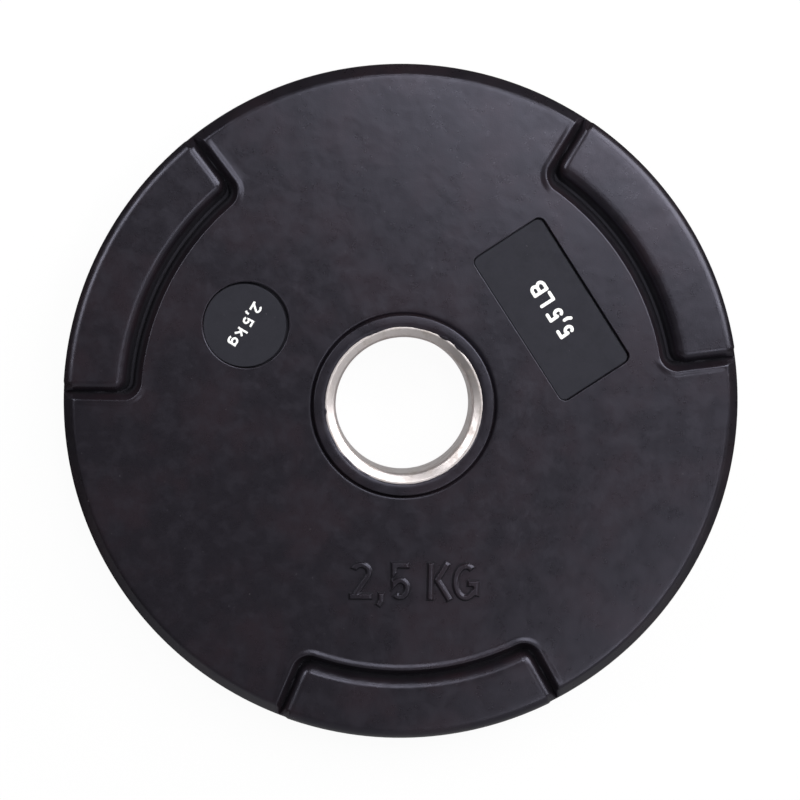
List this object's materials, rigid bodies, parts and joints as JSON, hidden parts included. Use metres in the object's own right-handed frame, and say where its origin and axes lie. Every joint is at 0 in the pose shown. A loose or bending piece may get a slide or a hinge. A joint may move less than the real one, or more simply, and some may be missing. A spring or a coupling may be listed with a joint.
{
  "type": "weight plate",
  "caption": "Round rubber-coated barbell weight plate with a steel-lined bore, raised hub rings, grooved finger grips round the rim and flat weight badges.",
  "frame": {"origin": "on the bore's axis, in the plane of the back hub ring that the plate rests on", "axes": "+Z along the bore from the back face to the front face with the badges; -Y points from the bore to the grip under the raised numbers"},
  "size_m": [0.252, 0.252, 0.023],
  "materials": {
    "cast_iron": "matte",
    "bushing_steel": "satin",
    "black_urethane": "satin",
    "badge_urethane": "satin",
    "white_ink": "matte"
  },
  "bodies": {
    "root": {"iron_core": "cast_iron", "steel_bushing": "bushing_steel", "urethane_casing": "black_urethane", "label_badge": "badge_urethane", "round_badge": "badge_urethane", "pound_print_1_5": "white_ink", "pound_print_2_comma": "white_ink", "pound_print_3_5": "white_ink", "pound_print_5_L": "white_ink", "pound_print_6_B": "white_ink", "kilogram_print_1_2": "white_ink", "kilogram_print_2_comma": "white_ink", "kilogram_print_3_5": "white_ink", "kilogram_print_5_k": "white_ink", "kilogram_print_6_g": "white_ink"}
  },
  "joints": []
}
